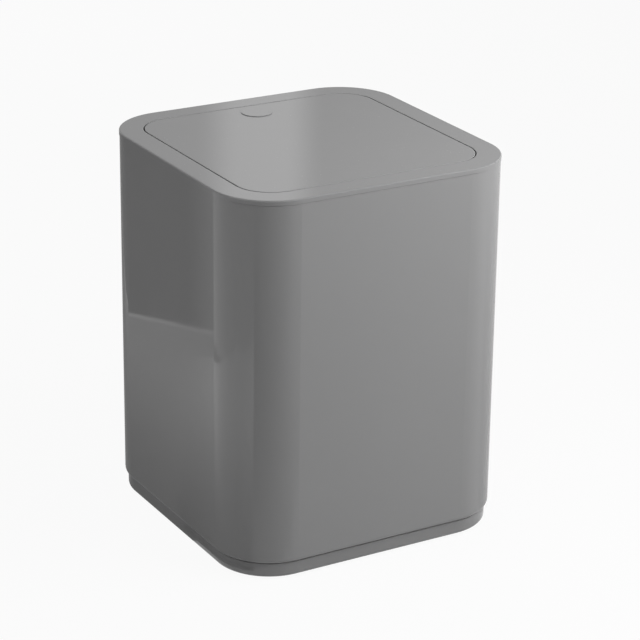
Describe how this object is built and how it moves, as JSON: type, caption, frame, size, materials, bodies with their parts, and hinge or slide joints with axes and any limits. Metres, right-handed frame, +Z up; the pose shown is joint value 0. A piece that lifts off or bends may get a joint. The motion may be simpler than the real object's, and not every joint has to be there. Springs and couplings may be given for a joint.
{
  "type": "swing-lid bathroom bin",
  "caption": "Square bathroom bin with round corners, a stepped plinth and a lift-off top frame whose flush balanced flap swings in when pressed; a lift-out bucket stands inside.",
  "frame": {"origin": "on the floor under the middle of the bin, in the plane of the feet's undersides", "axes": "+Z up; the front faces -Y, the press disc and the flap's pressed edge are at +Y, and the flap's axis runs along X"},
  "size_m": [0.19, 0.19, 0.2404],
  "materials": {
    "body_plastic": "semi-gloss moulded mid grey",
    "bucket_plastic": "satin moulded dark grey",
    "bush_plastic": "natural white bearing plastic",
    "foot_rubber": "matt black",
    "zinc_screw": "zinc plated",
    "pin_steel": "bright drawn steel",
    "weight_steel": "plain rolled steel"
  },
  "bodies": {
    "bin_body": {"outer_shell": "body_plastic", "base_plinth": "body_plastic", "base_screws": "zinc_screw", "foot_front_left": "foot_rubber", "foot_front_right": "foot_rubber", "foot_back_left": "foot_rubber", "foot_back_right": "foot_rubber"},
    "lid_frame": {"lid_frame": "body_plastic", "pivot_bush_left": "bush_plastic", "pivot_bush_right": "bush_plastic", "rest_pad_left": "foot_rubber", "rest_pad_right": "foot_rubber"},
    "flap": {"flap_panel": "body_plastic", "flap_cover": "body_plastic", "flap_screws": "zinc_screw", "counterweight": "weight_steel", "pivot_pin_left": "pin_steel", "pivot_pin_right": "pin_steel"},
    "bucket": {"inner_bucket": "bucket_plastic"},
    "bail": {"bail_handle": "pin_steel"}
  },
  "joints": [
    {"name": "frame_lift", "type": "slide", "parent": "bin_body", "child": "lid_frame", "axis": [0, 0, 1], "range_m": [0, 0.45]},
    {"name": "flap_swing", "type": "hinge", "parent": "lid_frame", "child": "flap", "pos_m": [0, 0, 0.23195], "axis": [-1, 0, 0], "range_deg": [0, 75]},
    {"name": "bucket_lift", "type": "slide", "parent": "bin_body", "child": "bucket", "axis": [0, 0, 1], "range_m": [0, 0.2475]},
    {"name": "bail_swing", "type": "hinge", "parent": "bucket", "child": "bail", "pos_m": [0, 0, 0.21815], "axis": [-1, 0, 0], "range_deg": [0, 90]}
  ],
  "couplings": [
    {"joint": "bucket_lift", "follows": "frame_lift", "ratio": 0.55},
    {"joint": "bail_swing", "follows": "frame_lift", "rad_per_m": 3.49}
  ]
}
